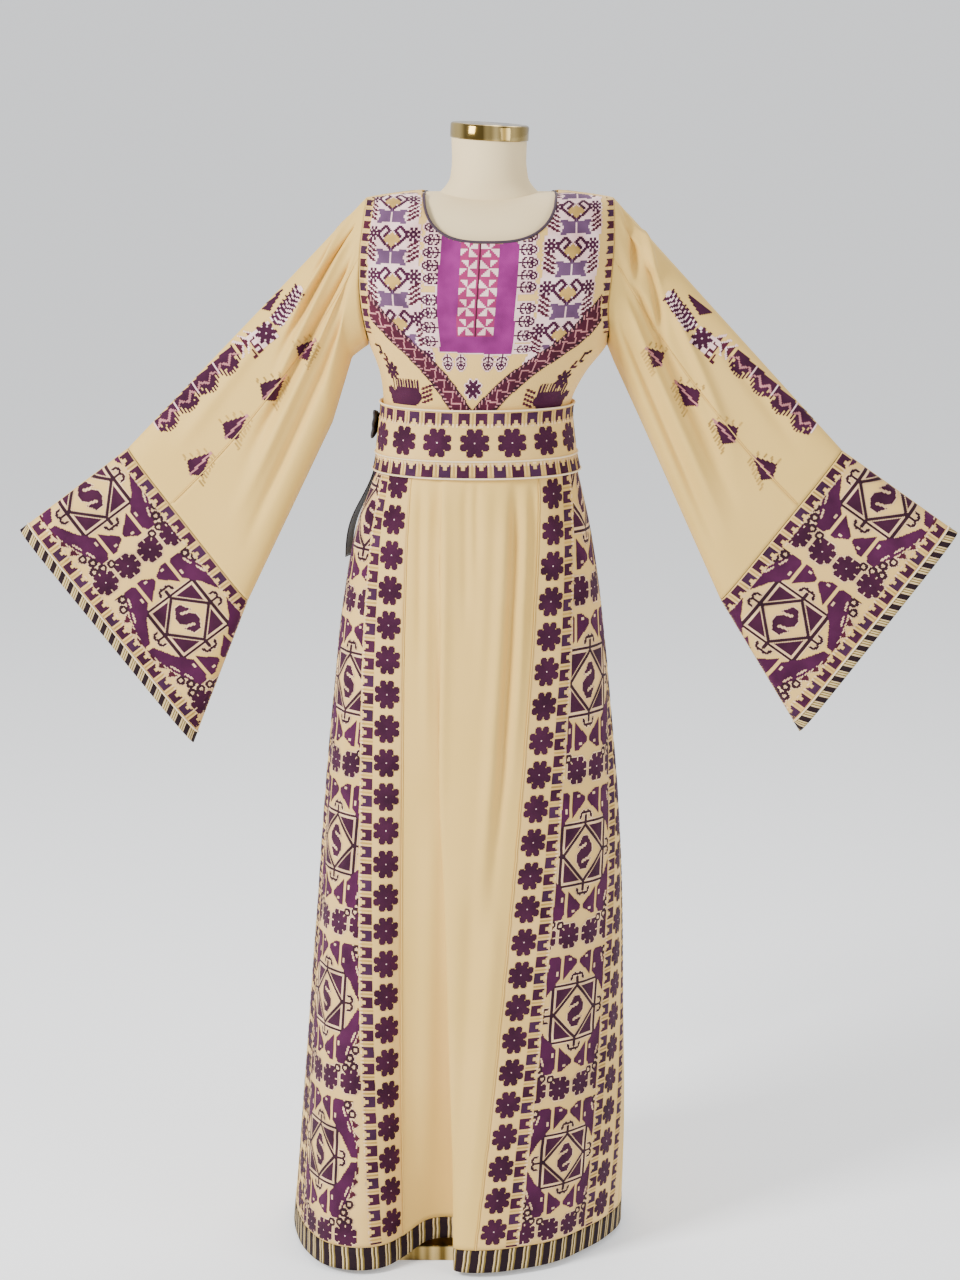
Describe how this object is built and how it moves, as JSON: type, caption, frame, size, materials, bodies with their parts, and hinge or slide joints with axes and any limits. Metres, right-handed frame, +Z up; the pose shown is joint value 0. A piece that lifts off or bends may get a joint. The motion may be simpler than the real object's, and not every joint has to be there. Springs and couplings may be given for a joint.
{
  "type": "embroidered thobe robe on a dress form",
  "caption": "Floor-length thobe robe with wide winged sleeves, cross-stitched sides, cuffs and chest, and its own belt, standing on a limbless dress form.",
  "frame": {"origin": "on the floor, under the pole of the dress form", "axes": "+Z up, the front of the robe towards -Y, +X to the robe's right as seen from the front"},
  "size_m": [1.3124, 0.4433, 1.5821],
  "materials": {
    "crepe": "matte champagne crepe",
    "embroidery": "matte crepe under dense cross-stitch",
    "striped_band": "striped woven band with a soft sheen",
    "dark_binding": "matte",
    "satin": "satin",
    "form_cloth": "matte jersey",
    "gold_metal": "polished"
  },
  "bodies": {
    "root": {"base_plate": "gold_metal", "belt": "embroidery", "bodice_back": "embroidery", "bodice_front": "embroidery", "cuff_binding_left": "striped_band", "cuff_binding_right": "striped_band", "cuff_left": "embroidery", "cuff_right": "embroidery", "dress_form": "form_cloth", "gusset_left": "crepe", "gusset_right": "crepe", "hem_band": "striped_band", "neck_binding": "dark_binding", "neck_cap": "gold_metal", "pole": "gold_metal", "ribbon_knot": "satin", "ribbon_loop_back": "satin", "ribbon_loop_front": "satin", "ribbon_tail_back": "satin", "ribbon_tail_front": "satin", "skirt_back": "crepe", "skirt_front": "crepe", "skirt_side_left": "embroidery", "skirt_side_right": "embroidery", "sleeve_left": "crepe", "sleeve_right": "crepe"}
  },
  "joints": []
}
